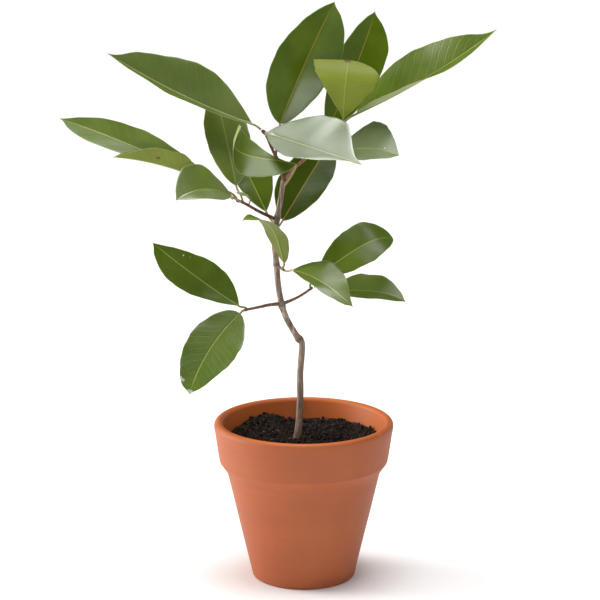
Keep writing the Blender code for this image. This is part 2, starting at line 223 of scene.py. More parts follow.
@dataclass(frozen=True)
class TerracottaFinish:
    """Fired clay: matt, faintly mottled, with fine grog in it, and painted light brightens the inner wall
    and the lip's top.
    """

    clay: Colour = (0.362, 0.081, 0.017)
    pale: Colour = (0.425, 0.115, 0.034)
    deep: Colour = (0.290, 0.060, 0.014)
    # painted light: a brighter, more orange colour for the inner wall and the lip's top
    painted_light_colour: Colour = (0.620, 0.140, 0.016)
    roughness: float = 0.56
    gloss: float = 0.48
    cloud_scale: float = 22.0
    ring_scale: float = 30.0
    grog_scale: float = 1500.0
    relief_depth: float = 0.00012

    def material(self) -> bpy.types.Material:
        """The finished material."""
        g = Graph("terracotta")
        clouds = g.grain(self.cloud_scale).rise(0.35, 0.68)
        rings = g.grain(self.ring_scale, 3.0, (0.12, 0.12, 5.0)).rise(0.38, 0.66)
        grog = g.grain(self.grog_scale, 2.0)
        colour = g.blend(clouds * 0.45, self.clay, self.pale)
        colour = g.blend(rings * 0.16, colour, self.deep)
        colour = g.blend(grog.rise(0.60, 0.74) * 0.22, colour, self.deep)
        colour = g.blend(grog.rise(0.40, 0.28) * 0.20, colour, self.pale)
        # painted light: the inner wall and the lip's top are blended towards the brighter orange
        colour = g.blend(g.attribute("inside") * 0.75, colour, self.painted_light_colour)
        relief = grog * 0.35 + rings * 0.4
        return g.feed(
            Base_Color=colour,
            Roughness=self.roughness + clouds * 0.08,
            Specular_IOR_Level=self.gloss,
            Normal=g.bump(relief, self.relief_depth, 0.5),
        )


@dataclass(frozen=True)
class SoilFinish:
    """Moist potting soil: near black, with browner and greyer crumbs."""

    name: str = "potting_soil"
    dark: Colour = (0.007, 0.0042, 0.003)
    brown: Colour = (0.026, 0.014, 0.009)
    grey: Colour = (0.060, 0.042, 0.032)
    speck: float = 0.35
    crumb_scale: float = 420.0
    grit_scale: float = 1300.0
    relief_depth: float = 0.0006

    def material(self) -> bpy.types.Material:
        """The finished material."""
        g = Graph(self.name)
        crumbs = g.grain(self.crumb_scale)
        grit = g.grain(self.grit_scale, 2.0)
        colour = g.blend(crumbs.rise(0.42, 0.66), self.dark, self.brown)
        colour = g.blend(grit.rise(0.58, 0.70) * self.speck, colour, self.grey)
        relief = crumbs * 0.6 + grit * 0.4
        return g.feed(
            Base_Color=colour,
            Roughness=0.70 + grit * 0.3,
            Specular_IOR_Level=0.25,
            Normal=g.bump(relief, self.relief_depth, 0.9),
        )


@dataclass(frozen=True)
class BarkFinish:
    """Thin bark: a ground colour with long pale flakes and dark cracks."""

    name: str
    ground: Colour
    flake: Colour
    crack: Colour
    flakes: float = 0.8
    grain_scale: float = 520.0
    patch_scale: float = 130.0
    pore_scale: float = 900.0
    relief_depth: float = 0.0004

    def material(self) -> bpy.types.Material:
        """The finished material."""
        g = Graph(self.name)
        long_grain = g.grain(self.grain_scale, 4.0, (1.0, 1.0, 0.16))
        patches = g.grain(self.patch_scale, 3.0, (1.0, 1.0, 0.45))
        pores = g.grain(self.pore_scale, 2.0, (1.0, 1.0, 0.7))
        flaked = long_grain.rise(0.50, 0.64) * patches.rise(0.40, 0.58) * self.flakes
        cracked = long_grain.rise(0.44, 0.34)
        colour = g.blend(patches.rise(0.35, 0.65) * 0.5, self.ground, self.crack)
        colour = g.blend(flaked, colour, self.flake)
        colour = g.blend(cracked * 0.75, colour, self.crack)
        colour = g.blend(pores.rise(0.64, 0.72) * 0.5, colour, self.crack)
        colour = g.blend(g.attribute("node_ring") * 0.8, colour, self.crack)
        relief = long_grain * 0.7 + pores * 0.3
        return g.feed(
            Base_Color=colour,
            Roughness=0.66 + patches * 0.2,
            Normal=g.bump(relief, self.relief_depth, 0.7),
        )


@dataclass(frozen=True)
class Mark:
    """A scar or a speck on a blade, placed by shares of its length and half width."""

    along: float
    across: float
    length: float
    width: float
    colour: Colour
    ragged: float = 0.5


class Tone(Enum):
    """How green a leaf's upper side is: its blade's colour and a lighter one near the rib; one tone holds a
    grey painted sheen.
    """

    DEEP = ((0.062, 0.112, 0.003), (0.100, 0.158, 0.007))
    MID = ((0.078, 0.130, 0.006), (0.118, 0.172, 0.013))
    LIGHT = ((0.120, 0.170, 0.014), (0.165, 0.215, 0.026))
    # grey-green painted sheen: the pale reflection of the overhead light painted into the blade's colour
    BLOOM = ((0.130, 0.175, 0.075), (0.165, 0.215, 0.095))
    YOUNG = ((0.330, 0.380, 0.200), (0.420, 0.450, 0.270))


@dataclass(frozen=True)
class LeafFinish:
    """Leathery leaf skin: waxy and veined above, paler and duller below, with a thin pale margin."""

    tone: Tone = Tone.MID
    rib: Colour = (0.300, 0.340, 0.070)
    margin: Colour = (0.350, 0.420, 0.150)
    under: Colour = (0.215, 0.250, 0.036)
    stalk: Colour = (0.260, 0.200, 0.070)
    roughness: float = 0.33
    gloss: float = 0.5
    # painted shade: below 1 the blade's colour is darkened towards black
    painted_shade_factor: float = 1.0
    wax: float = 0.0
    wax_left: float = 1.0
    wax_roughness: float = 0.36
    rib_width: float = 0.62
    vein_count: float = 15.0
    vein_strength: float = 1.0
    cloud_scale: float = 38.0
    mottle_scale: float = 260.0
    relief_depth: float = 0.00018
    marks: tuple[Mark, ...] = ()

    def veins(self, g: Graph, along: Wire, across: Wire, off_rib: Wire, clouds: Wire) -> Wire:
        """The side veins, with fine veinlets between them.

        Args:
            g: the material's graph.
            along: share of the blade's length.
            across: share of the blade's half width.
            off_rib: distance from the rib in metres.
            clouds: slow noise that bends the veins.

        Returns:
            About 1 on a vein, 0 off it.
        """
        steps = (along * self.vein_count - across.size() * 2.2 + clouds * 0.9).math("FRACT")
        fine = (along * (self.vein_count * 3.0) - across.size() * 5.0).math("FRACT")
        veins = (steps - 0.5).size().rise(0.10, 0.0)
        veinlets = (fine - 0.5).size().rise(0.25, 0.0)
        return (veins + veinlets * 0.35) * off_rib.rise(0.0004, 0.002)

    def polish(self, across: Wire, below: Wire) -> Wire | float:
        """How much wax lies on top: none below, and its own share on the left half.

        Args:
            across: share of the blade's half width, negative on the left.
            below: 1 on the underside.

        Returns:
            The coat's weight.
        """
        if self.wax == 0.0:
            return 0.0
        by_half = across.rise(-0.05, 0.25) * (1.0 - self.wax_left) + self.wax_left
        return by_half * (1.0 - below) * self.wax

    def material(self, name: str) -> bpy.types.Material:
        """Makes the material.

        Args:
            name: the material's name.

        Returns:
            The finished material.
        """
        g = Graph(name)
        along = g.attribute("along")
        across = g.attribute("across")
        off_rib = g.attribute("off_rib")
        off_margin = g.attribute("off_margin")
        below = g.attribute("underside")
        deep, light = self.tone.value
        clouds = g.grain(self.cloud_scale)
        mottle = g.grain(self.mottle_scale, 2.0)
        veined = self.veins(g, along, across, off_rib, clouds)
        rib = off_rib.rise(self.rib_width * MM, self.rib_width * 0.35 * MM) * along.rise(1.02, 0.80)
        edge = off_margin.rise(0.00055, 0.00015)
        near_rib = off_rib.rise(0.012, 0.0)

        upper = g.blend(clouds.rise(0.32, 0.70) * 0.8, deep, light)
        upper = g.blend(near_rib * 0.30, upper, light)
        upper = g.blend(mottle.rise(0.5, 0.75) * 0.18, upper, light)
        upper = g.blend(veined * (0.045 * self.vein_strength), upper, self.rib)
        lower = g.blend(clouds.rise(0.3, 0.7) * 0.35, self.under, deep)
        lower = g.blend(veined * 0.10, lower, self.margin)
        blade = g.blend(below, upper, lower)
        # painted shade: the blade is darkened towards black by one less the factor
        blade = g.blend(1.0 - self.painted_shade_factor, blade, (0.0, 0.0, 0.0))
        blade = g.blend(edge * 0.75, blade, self.margin)
        for mark in self.marks:
            blade = g.blend(self.mark_mask(mark, along, across, mottle), blade, mark.colour)
        blade = g.blend(rib * 0.85, blade, self.rib)
        colour = g.blend(along.rise(0.03, -0.02), blade, self.stalk)
        relief = veined * (-0.35 * self.vein_strength) + mottle * 0.12 + rib * 0.4
        dull = below * 0.16 + clouds * 0.10 + veined * 0.03
        return g.feed(
            Base_Color=colour,
            Roughness=dull + (self.roughness - 0.05),
            Specular_IOR_Level=self.gloss,
            Coat_Weight=self.polish(across, below),
            Coat_Roughness=self.wax_roughness,
            Normal=g.bump(relief, self.relief_depth, 0.55),
        )

    @staticmethod
    def mark_mask(mark: Mark, along: Wire, across: Wire, mottle: Wire) -> Wire:
        """Where a mark shows.

        Args:
            mark: the mark.
            along: share of the blade's length.
            across: share of the blade's half width.
            mottle: noise that roughens the mark's outline.

        Returns:
            1 in the mark, 0 outside.
        """
        off_along = (along - mark.along) / mark.length
        off_across = (across - mark.across) / mark.width
        spread = off_along * off_along + off_across * off_across
        return (spread + (mottle - 0.5) * (mark.ragged * 6.0)).rise(1.1, 0.8)


# --- modelling ----------------------------------------------------------------------------------


class Workshop:
    """Blender's own modelling tools, used the way a hand would."""

    @staticmethod
    def clear_selection() -> None:
        """Nothing stays selected, so an operator acts on the new piece only."""
        bpy.ops.object.select_all(action="DESELECT")

    @staticmethod
    def wrap_sheet(name: str, rings: np.ndarray, facts: dict[str, np.ndarray] | None = None,
                   turned_under: int | None = None) -> bpy.types.Object:
        """A grid primitive wrapped into a closed skin over a row of rings.

        Args:
            name: the new object's name.
            rings: places in metres, by ring and by turn round it.
            facts: numbers kept on the points, by name, shaped as the rings are.
            turned_under: the turn where the underside starts, if the piece has one.

        Returns:
            The finished object.
        """
        count, turns = rings.shape[:2]
        Workshop.clear_selection()
        bpy.ops.mesh.primitive_grid_add(x_subdivisions=count - 1, y_subdivisions=turns, size=1.0)
        piece = bpy.context.object
        piece.name = piece.data.name = name
        mesh = piece.data
        flat = np.empty(len(mesh.vertices) * 3, np.float32)
        mesh.vertices.foreach_get("co", flat)
        flat = flat.reshape(-1, 3)
        ring = np.rint((flat[:, 0] + 0.5) * (count - 1)).astype(int)
        turn = np.rint((flat[:, 1] + 0.5) * turns).astype(int)
        mesh.vertices.foreach_set("co", rings[ring, turn % turns].astype(np.float32).ravel())
        for key, values in (facts or {}).items():
            fact = mesh.attributes.new(key, "FLOAT", "POINT")
            fact.data.foreach_set("value", values[ring, turn % turns].astype(np.float32))
        if turned_under is not None:
            corners = np.empty(len(mesh.polygons) * 4, np.int32)
            mesh.polygons.foreach_get("vertices", corners)
            middle = turn[corners].reshape(-1, 4).mean(axis=1)
            under = mesh.attributes.new("underside", "FLOAT", "FACE")
            under.data.foreach_set("value", (middle > turned_under).astype(np.float32))
        mesh.update()
        bpy.ops.object.mode_set(mode="EDIT")
        bpy.ops.mesh.select_all(action="SELECT")
        bpy.ops.mesh.remove_doubles(threshold=1e-7)
        bpy.ops.mesh.select_all(action="DESELECT")
        bpy.ops.mesh.select_mode(type="EDGE")
        bpy.ops.mesh.select_non_manifold()
        bpy.ops.mesh.fill_holes(sides=0)
        bpy.ops.mesh.select_all(action="SELECT")
        bpy.ops.mesh.normals_make_consistent(inside=False)
        bpy.ops.mesh.select_mode(type="VERT")
        bpy.ops.object.mode_set(mode="OBJECT")
        bpy.ops.object.shade_smooth()
        return piece

    @staticmethod
    def spin_outline(name: str, outline: Sequence[tuple[float, float]], centre: Vector,
                     steps: int) -> bpy.types.Object:
        """A closed outline spun once round an upright axis.

        Args:
            name: the new object's name.
            outline: points (radius, height) in metres.
            centre: a point on the axis, at height 0.
            steps: steps in the turn.

        Returns:
            The finished object.
        """
        Workshop.clear_selection()
        bpy.ops.mesh.primitive_circle_add(vertices=len(outline), radius=0.01)
        piece = bpy.context.object
        piece.name = piece.data.name = name
        for vertex, (radius, height) in zip(piece.data.vertices, outline):
            vertex.co = centre + Vector((radius, 0.0, height))
        bpy.ops.object.mode_set(mode="EDIT")
        bpy.ops.mesh.select_all(action="SELECT")
        bpy.ops.mesh.spin(steps=steps, angle=math.tau, center=centre, axis=(0.0, 0.0, 1.0))
        bpy.ops.mesh.select_all(action="SELECT")
        bpy.ops.mesh.remove_doubles(threshold=1e-6)
        bpy.ops.mesh.normals_make_consistent(inside=False)
        bpy.ops.object.mode_set(mode="OBJECT")
        bpy.ops.object.shade_smooth()
        return piece

    @staticmethod
    def mount(piece: bpy.types.Object, slot: str, *nodes: str) -> bpy.types.Object:
        """Rides a finished piece on the plant's body and hides the frame's nodes that it replaces.

        Args:
            piece: the piece.
            slot: not used.
            nodes: the frame's nodes that it replaces.

        Returns:
            The piece.
        """
        piece.location = (0.0, 0.0, 0.0)
        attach(piece, BODY)
        if nodes:
            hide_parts(*nodes)
        log.info("%s: %d faces", piece.name, len(piece.data.polygons))
        return piece


def smooth_through(points: Sequence[Place], steps: int) -> np.ndarray:
    """Points on a smooth curve (Catmull-Rom) through the given ones.

    Args:
        points: the points to pass through.
        steps: steps between each two.

    Returns:
        The curve's points, in the same unit.
    """
    given = np.array(points, float)
    padded = np.vstack([2 * given[0] - given[1], given, 2 * given[-1] - given[-2]])
    t = (np.arange(steps) / steps)[:, None]
    curve = []
    for before, start, end, after in zip(padded, padded[1:], padded[2:], padded[3:]):
        curve.append(
            0.5 * (2 * start + (end - before) * t
                   + (2 * before - 5 * start + 4 * end - after) * t**2
                   + (3 * start - before - 3 * end + after) * t**3)
        )
    return np.vstack([*curve, given[-1:]])


def unit(vectors: np.ndarray) -> np.ndarray:
    """The same directions with length 1."""
    return vectors / np.linalg.norm(vectors, axis=-1, keepdims=True)


def ease(share: np.ndarray | float) -> np.ndarray | float:
    """A smooth step from 0 to 1, flat outside."""
    share = np.clip(share, 0.0, 1.0)
    return share * share * (3 - 2 * share)


# --- the pot ------------------------------------------------------------------------------------


@dataclass
class Pot:
    """The thrown pot: tapered body, deep collar, rounded lip and a drained foot, in millimetres."""

    centre: Vector
    finish: TerracottaFinish = TerracottaFinish()
    rim_radius: float = 65.0
    height: float = 117.0
    lip_round: float = 3.4
    lip_thickness: float = 6.5
    collar_low_radius: float = 61.2
    collar_low: float = 87.6
    collar_round: float = 2.6
    shoulder_radius: float = 55.7
    shoulder: float = 79.4
    foot_radius: float = 37.7
    foot_round: float = 2.2
    floor: float = 6.0
    floor_radius: float = 32.5
    drain_radius: float = 6.0
    # how far the painted light reaches over the lip's top, in millimetres
    painted_light_lip: float = 5.5
    wobble: float = 0.22
    throwing_lines: float = 0.07
    steps: int = 160

    def inner_radius(self, height: float) -> float:
        """The inside radius at a height: one straight taper."""
        mouth = self.rim_radius - self.lip_thickness
        share = (height - self.floor) / (self.height - self.lip_round - self.floor)
        return self.floor_radius + (mouth - self.floor_radius) * share

    def arc(self, radius_at: float, height_at: float, radius: float, start: float, end: float,
            steps: int) -> list[tuple[float, float]]:
        """Points (radius, height) on an arc about a centre, its angles from outward to up in degrees."""
        angles = np.radians(np.linspace(start, end, steps + 1))
        return [(radius_at + radius * math.cos(a), height_at + radius * math.sin(a)) for a in angles]

    def outline(self) -> list[tuple[float, float]]:
        """The closed outline, down the outside and up the inside."""
        lip = self.height - self.lip_round
        points = self.arc(self.rim_radius - self.lip_round, lip, self.lip_round, 88, 0, 8)
        drop = [(self.rim_radius, lip - 1.5)]
        taper = (self.rim_radius - self.collar_low_radius) / (lip - self.collar_low)
        for height in np.linspace(lip - 5.0, self.collar_low + 4.0, 5):
            drop.append((self.rim_radius - taper * (lip - height), height))
        points += drop
        points += self.arc(self.collar_low_radius - self.collar_round, self.collar_low + 0.6,
                           self.collar_round, 0, -52, 6)
        points += [
            (self.shoulder_radius + 1.1, self.shoulder + 1.6),
            (self.shoulder_radius + 0.35, self.shoulder + 0.45),
            (self.shoulder_radius - 0.1, self.shoulder - 0.6),
        ]
        for height in np.linspace(self.shoulder - 6.0, self.foot_round + 4.0, 9):
            share = (height - self.foot_round) / (self.shoulder - self.foot_round)
            points.append((self.foot_radius + (self.shoulder_radius - self.foot_radius) * share, height))
        points += self.arc(self.foot_radius - self.foot_round, self.foot_round, self.foot_round,
                           -8, -90, 5)
        points += [(self.drain_radius + 0.8, 0.0), (self.drain_radius, 0.8)]
        points += [(self.drain_radius, self.floor - 0.6), (self.drain_radius + 0.6, self.floor)]
        points += self.arc(self.floor_radius - 2.2, self.floor + 3.0, 3.0, -90, -10, 4)
        for height in np.linspace(self.floor + 8.0, self.height - self.lip_round - 3.0, 8):
            points.append((self.inner_radius(height), height))
        mouth = self.rim_radius - self.lip_thickness
        inner_round = self.lip_thickness - self.lip_round
        points += self.arc(mouth + inner_round, self.height - inner_round, inner_round, 178, 96, 6)
        return points

    def has_painted_light(self, spot: Vector) -> bool:
        """Whether a place in millimetres from the foot's middle is on the inner wall or the lip's top, which
        get painted light.
        """
        if spot.z < self.height - self.lip_round:
            reach = self.inner_radius(spot.z) + 1.0
        else:
            reach = self.rim_radius - self.lip_thickness + self.painted_light_lip
        return spot.z > self.floor and math.hypot(spot.x, spot.y) < reach

    def roughen(self, pot: bpy.types.Object) -> None:
        """Gives the walls a slow wobble and fine throwing lines; the foot stays flat.

        Args:
            pot: the turned pot.
        """
        for vertex in pot.data.vertices:
            spot = vertex.co - self.centre
            out = Vector((spot.x, spot.y, 0.0)).normalized()
            lift = noise.noise(spot * 26.0) * self.wobble
            lift += noise.noise(Vector((0, 0, spot.z * 420.0))) * self.throwing_lines
            vertex.co += out * lift * MM * ease(spot.z / 0.006)

    def build(self) -> bpy.types.Object:
        """Turns, roughens and dresses the pot."""
        outline = [(radius * MM, height * MM) for radius, height in self.outline()]
        pot = Workshop.spin_outline("pot_fired", outline, self.centre, self.steps)
        self.roughen(pot)
        # marks the inner wall and the lip's top, which get painted light
        inside = pot.data.attributes.new("inside", "FLOAT", "POINT")
        for vertex, fact in zip(pot.data.vertices, inside.data):
            fact.value = float(self.has_painted_light((vertex.co - self.centre) / MM))
        pot.data.materials.append(self.finish.material())
        return Workshop.mount(pot, "terracotta", "pot")


# --- the soil -----------------------------------------------------------------------------------


@dataclass(frozen=True)
class Strewn:
    """Loose lumps on the soil: how many, their radii in millimetres and their stretch."""

    name: str
    count: int
    sizes: tuple[float, float]
    stretch: Place
    finish: SoilFinish


STREWN = (
    Strewn("soil_crumbs", 2300, (0.30, 1.8), (1.0, 1.0, 0.8),
           SoilFinish("loose_crumbs", (0.008, 0.005, 0.004), (0.034, 0.018, 0.012),
                      (0.090, 0.062, 0.048), 0.5)),
    Strewn("soil_chips", 170, (0.6, 2.6), (1.8, 0.35, 0.30),
           SoilFinish("bark_chips", (0.016, 0.009, 0.006), (0.070, 0.036, 0.020),
                      (0.140, 0.090, 0.060), 0.5)),
    Strewn("soil_grit", 210, (0.25, 0.75), (1.0, 1.0, 0.8),
           SoilFinish("pale_grit", (0.10, 0.07, 0.055), (0.24, 0.18, 0.15), (0.46, 0.40, 0.36), 0.6)),
    Strewn("soil_fibre", 260, (0.30, 1.1), (2.0, 0.45, 0.25),
           SoilFinish("pale_fibre", (0.120, 0.075, 0.045), (0.260, 0.180, 0.110),
                      (0.420, 0.320, 0.220), 0.5)),
)


@dataclass
class Soil:
    """Potting soil: an uneven crust with loose lumps on it, in millimetres."""

    pot: Pot
    finish: SoilFinish = SoilFinish()
    strewn: tuple[Strewn, ...] = STREWN
    level: float = 102.6
    wall_level: float = 103.4
    gap: float = 0.35
    mounds: float = 2.2
    lumps: float = 1.5
    crumbs: float = 0.9
    bank: float = 2.4
    bank_turn: float = 2.2
    heap: float = 4.5
    heap_place: tuple[float, float] = (-28.0, 38.0)
    heap_reach: float = 13.0
    crust_rings: int = 60
    turns: int = 144
    seed: int = 5

    def height(self, x: float, y: float) -> float:
        """The crust's height in millimetres at a place measured from the pot's axis."""
        reach = math.hypot(x, y) / self.pot.inner_radius(self.wall_level)
        mounds = self.mounds * noise.noise(Vector((x * 0.035 + 3.1, y * 0.035, 0.4)))
        lumps = self.lumps * noise.noise(Vector((x * 0.13, y * 0.13 + 7.0, 1.7)))
        crumbs = self.crumbs * noise.noise(Vector((x * 0.45, y * 0.45, 5.2)))
        turned = 0.5 + 0.5 * math.sin(math.atan2(y, x) - self.bank_turn)
        banked = self.bank * ease((reach - 0.6) / 0.4) * turned
        off_heap = math.dist((x, y), self.heap_place) / self.heap_reach
        heaped = self.heap * math.exp(-off_heap**2) * (1 + lumps / 3)
        return self.level + mounds + lumps + crumbs + banked + heaped

    def build_crust(self) -> bpy.types.Object:
        """The body of soil under its uneven top."""
        floor = self.pot.floor + self.gap
        wall_top = self.wall_level - 2.0
        profile = [(0.2, floor), (self.pot.floor_radius - 3.5, floor)]
        for height in np.linspace(floor + 4.0, wall_top, 6):
            profile.append((self.pot.inner_radius(height) - self.gap - 0.1, height))
        edge = self.pot.inner_radius(self.wall_level) - self.gap - 0.3
        below_top = len(profile)
        profile += [(radius, None) for radius in edge * np.linspace(1.0, 0.004, self.crust_rings)]
        rings = np.zeros((len(profile), self.turns, 3))
        for index, (radius, fixed_height) in enumerate(profile):
            for turn in range(self.turns):
                angle = math.tau * turn / self.turns
                x = radius * math.cos(angle)
                y = radius * math.sin(angle)
                height = fixed_height if index < below_top else self.height(x, y)
                rings[index, turn] = (x, y, height)
        rings = rings * MM + np.array(self.pot.centre)
        crust = Workshop.wrap_sheet("soil_crust", rings)
        crust.data.materials.append(self.finish.material())
        return Workshop.mount(crust, "potting_soil", "soil")

    def strew(self, lumps: Strewn, dice: random.Random) -> bpy.types.Object:
        """Lays loose lumps on the crust.

        Args:
            lumps: the lumps.
            dice: the seeded draw.

        Returns:
            The finished object.
        """
        Workshop.clear_selection()
        bpy.ops.mesh.primitive_ico_sphere_add(subdivisions=1, radius=1.0)
        lump = bpy.context.object
        corners = np.array([v.co for v in lump.data.vertices])
        faces = np.array([list(p.vertices) for p in lump.data.polygons])
        bpy.data.objects.remove(lump)
        places = []
        links = []
        reach = self.pot.inner_radius(self.wall_level) - 1.6
        smallest, largest = lumps.sizes
        for index in range(lumps.count):
            angle = dice.uniform(0.0, math.tau)
            radius = reach * math.sqrt(dice.random())
            x = radius * math.cos(angle)
            y = radius * math.sin(angle)
            size = smallest + (largest - smallest) * dice.random() ** 2.2
            way = Vector((dice.gauss(0, 1), dice.gauss(0, 1), dice.gauss(0, 1))).normalized()
            turn = np.array(way.to_track_quat("Z", "Y").to_matrix())
            rough = np.array([1 + dice.uniform(-0.28, 0.28) for _ in corners])[:, None]
            shape = (corners * rough * np.array(lumps.stretch) * size) @ turn.T
            shape += (x, y, self.height(x, y) + size * dice.uniform(0.0, 0.55))
            places.append(shape)
            links.append(faces + index * len(corners))
        mesh = bpy.data.meshes.new(lumps.name)
        points = np.vstack(places) * MM + np.array(self.pot.centre)
        mesh.from_pydata(points.tolist(), [], np.vstack(links).tolist())
        piece = bpy.data.objects.new(lumps.name, mesh)
        bpy.context.scene.collection.objects.link(piece)
        mesh.shade_smooth()
        mesh.materials.append(lumps.finish.material())
        return Workshop.mount(piece, "potting_soil")

    def build(self) -> None:
        """Lays the crust and strews it."""
        dice = random.Random(self.seed)
        self.build_crust()
        for lumps in self.strewn:
            self.strew(lumps, dice)


# --- stem and shoots ----------------------------------------------------------------------------


@dataclass
class Twig:
    """A woody shoot through the places of its route, in millimetres from the pot's foot."""

    node: str
    route: tuple[Place, ...]
    radii: tuple[float, ...]
    finish: BarkFinish
    slot: str
    swellings: tuple[tuple[float, float, float], ...] = ()
    turns: int = 20
    spacing: float = 0.9
    rough: float = 0.05

    def centre_line(self) -> tuple[np.ndarray, np.ndarray]:
        """Evenly spaced places on the route, and the share of its length at each."""
        curve = smooth_through(self.route, 24)
        reach = np.concatenate([[0.0], np.cumsum(np.linalg.norm(np.diff(curve, axis=0), axis=1))])
        count = max(8, int(reach[-1] / self.spacing))
        wanted = np.linspace(0.0, reach[-1], count + 1)
        line = np.stack([np.interp(wanted, reach, curve[:, k]) for k in range(3)], axis=1)
        return line, wanted / reach[-1]

    def point(self, share: float) -> np.ndarray:
        """The place at a share of the twig's length."""
        line, shares = self.centre_line()
        return np.array([np.interp(share, shares, line[:, k]) for k in range(3)])

    def direction(self, share: float) -> np.ndarray:
        """The way the twig runs at a share of its length."""
        return unit(self.point(min(1.0, share + 0.02)) - self.point(max(0.0, share - 0.02)))

    def radius(self, shares: np.ndarray) -> np.ndarray:
        """The bark's radius in millimetres, with its swellings, at shares of the length."""
        radius = np.interp(shares, np.linspace(0.0, 1.0, len(self.radii)), self.radii)
        for at, extra, spread in self.swellings:
            radius = radius + extra * np.exp(-(((shares - at) / spread) ** 2))
        return radius

    def build(self, centre: Vector) -> bpy.types.Object:
        """Grows the twig as one closed tube.

        Args:
            centre: the pot's foot, in metres.

        Returns:
            The finished object.
        """
        line, shares = self.centre_line()
        along = unit(np.gradient(line, axis=0))
        across = np.zeros_like(line)
        across[0] = unit(np.cross(along[0], (0.3, 1.0, 0.1)))
        for i in range(1, len(line)):
            across[i] = unit(across[i - 1] - across[i - 1].dot(along[i]) * along[i])
        third = np.cross(along, across)
        angles = np.arange(self.turns) / self.turns * math.tau
        ends = np.sqrt(np.clip(1 - ((shares - 0.5) * 2) ** 60, 0.08, 1.0))
        radius = (self.radius(shares) * ends)[:, None] * np.ones(self.turns)
        for i, place in enumerate(line):
            for j, angle in enumerate(angles):
                drift = place[2] * 0.09 + place[0] * 0.05
                spot = Vector((math.cos(angle) * 0.8, math.sin(angle) * 0.8, drift))
                radius[i, j] *= 1 + self.rough * (noise.noise(spot) + 0.5 * noise.noise(spot * 4.3))
        offsets = (np.cos(angles)[None, :, None] * across[:, None]
                   + np.sin(angles)[None, :, None] * third[:, None])
        rings = (line[:, None] + offsets * radius[:, :, None]) * MM + np.array(centre)
        ringed = np.zeros(len(line))
        for at, _, spread in self.swellings:
            ringed = np.maximum(ringed, np.exp(-(((shares - at) / (spread * 0.5)) ** 2)))
        facts = {"node_ring": np.repeat(ringed[:, None], self.turns, axis=1)}
        piece = Workshop.wrap_sheet(self.node + "_bark", rings, facts)
        piece.data.materials.append(self.finish.material())
        return Workshop.mount(piece, self.slot, self.node)


OLD_BARK = BarkFinish(
    "old_bark", (0.270, 0.190, 0.140), (0.520, 0.440, 0.360), (0.110, 0.066, 0.045), 0.9,
)
YOUNG_BARK = BarkFinish(
    "young_bark", (0.200, 0.110, 0.070), (0.340, 0.240, 0.170), (0.085, 0.040, 0.028), 0.5,
)
RED_BARK = BarkFinish(
    "red_bark", (0.150, 0.062, 0.040), (0.300, 0.170, 0.120), (0.070, 0.028, 0.022), 0.4,
)
PINK_BARK = BarkFinish(
    "pink_bark", (0.380, 0.180, 0.110), (0.480, 0.300, 0.200), (0.180, 0.070, 0.045), 0.4,
)


# --- leaves -------------------------------------------------------------------------------------


